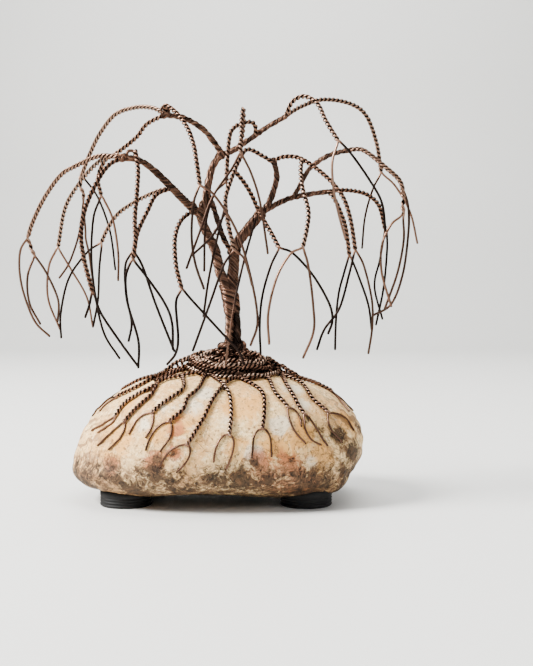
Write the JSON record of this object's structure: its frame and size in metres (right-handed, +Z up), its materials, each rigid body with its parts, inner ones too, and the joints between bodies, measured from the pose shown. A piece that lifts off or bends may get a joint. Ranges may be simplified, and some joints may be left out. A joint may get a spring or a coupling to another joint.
{
  "type": "wire tree sculpture on a stone",
  "caption": "Small drooping tree of twisted copper wire, rooted over a natural pebble that stands on rubber feet; a shelf or desk ornament.",
  "frame": {"origin": "the middle of the whole object's base, on the surface its feet stand on", "axes": "+Z up; +X to the right of the side with the most roots, which faces -Y"},
  "size_m": [0.0938, 0.0468, 0.0904],
  "materials": {
    "stone": "natural cream and ochre pebble, grey and rust mottling, slight sheen",
    "copper_wire": "dark oxidised copper, satin, bright pink copper on the high spots",
    "rubber": "matt black rubber"
  },
  "bodies": {
    "root": {"bumper_foot_back_left": "rubber", "bumper_foot_back_right": "rubber", "bumper_foot_front_left": "rubber", "bumper_foot_front_right": "rubber", "root_back_1": "copper_wire", "root_back_2": "copper_wire", "root_back_3": "copper_wire", "root_back_4": "copper_wire", "root_back_5": "copper_wire", "root_back_6": "copper_wire", "root_back_7": "copper_wire", "root_back_8": "copper_wire", "root_front_1": "copper_wire", "root_front_10": "copper_wire", "root_front_11": "copper_wire", "root_front_12": "copper_wire", "root_front_2": "copper_wire", "root_front_3": "copper_wire", "root_front_4": "copper_wire", "root_front_5": "copper_wire", "root_front_6": "copper_wire", "root_front_7": "copper_wire", "root_front_8": "copper_wire", "root_front_9": "copper_wire", "root_nest": "copper_wire", "stone": "stone", "trunk_and_limbs": "copper_wire", "twig_back_inner_left": "copper_wire", "twig_back_left": "copper_wire", "twig_back_left_high": "copper_wire", "twig_crown_front": "copper_wire", "twig_crown_left": "copper_wire", "twig_far_left": "copper_wire", "twig_far_right": "copper_wire", "twig_front_arch": "copper_wire", "twig_front_far_left": "copper_wire", "twig_front_left": "copper_wire", "twig_front_low_left": "copper_wire", "twig_front_low_right": "copper_wire", "twig_front_middle_left": "copper_wire", "twig_front_right": "copper_wire", "twig_inner_left": "copper_wire", "twig_left_high": "copper_wire", "twig_middle_right": "copper_wire", "twig_right": "copper_wire", "twig_right_arch": "copper_wire", "twig_upper_right_back": "copper_wire", "twig_upper_right_front": "copper_wire", "wire_curl": "copper_wire", "wire_front": "copper_wire"}
  },
  "joints": []
}
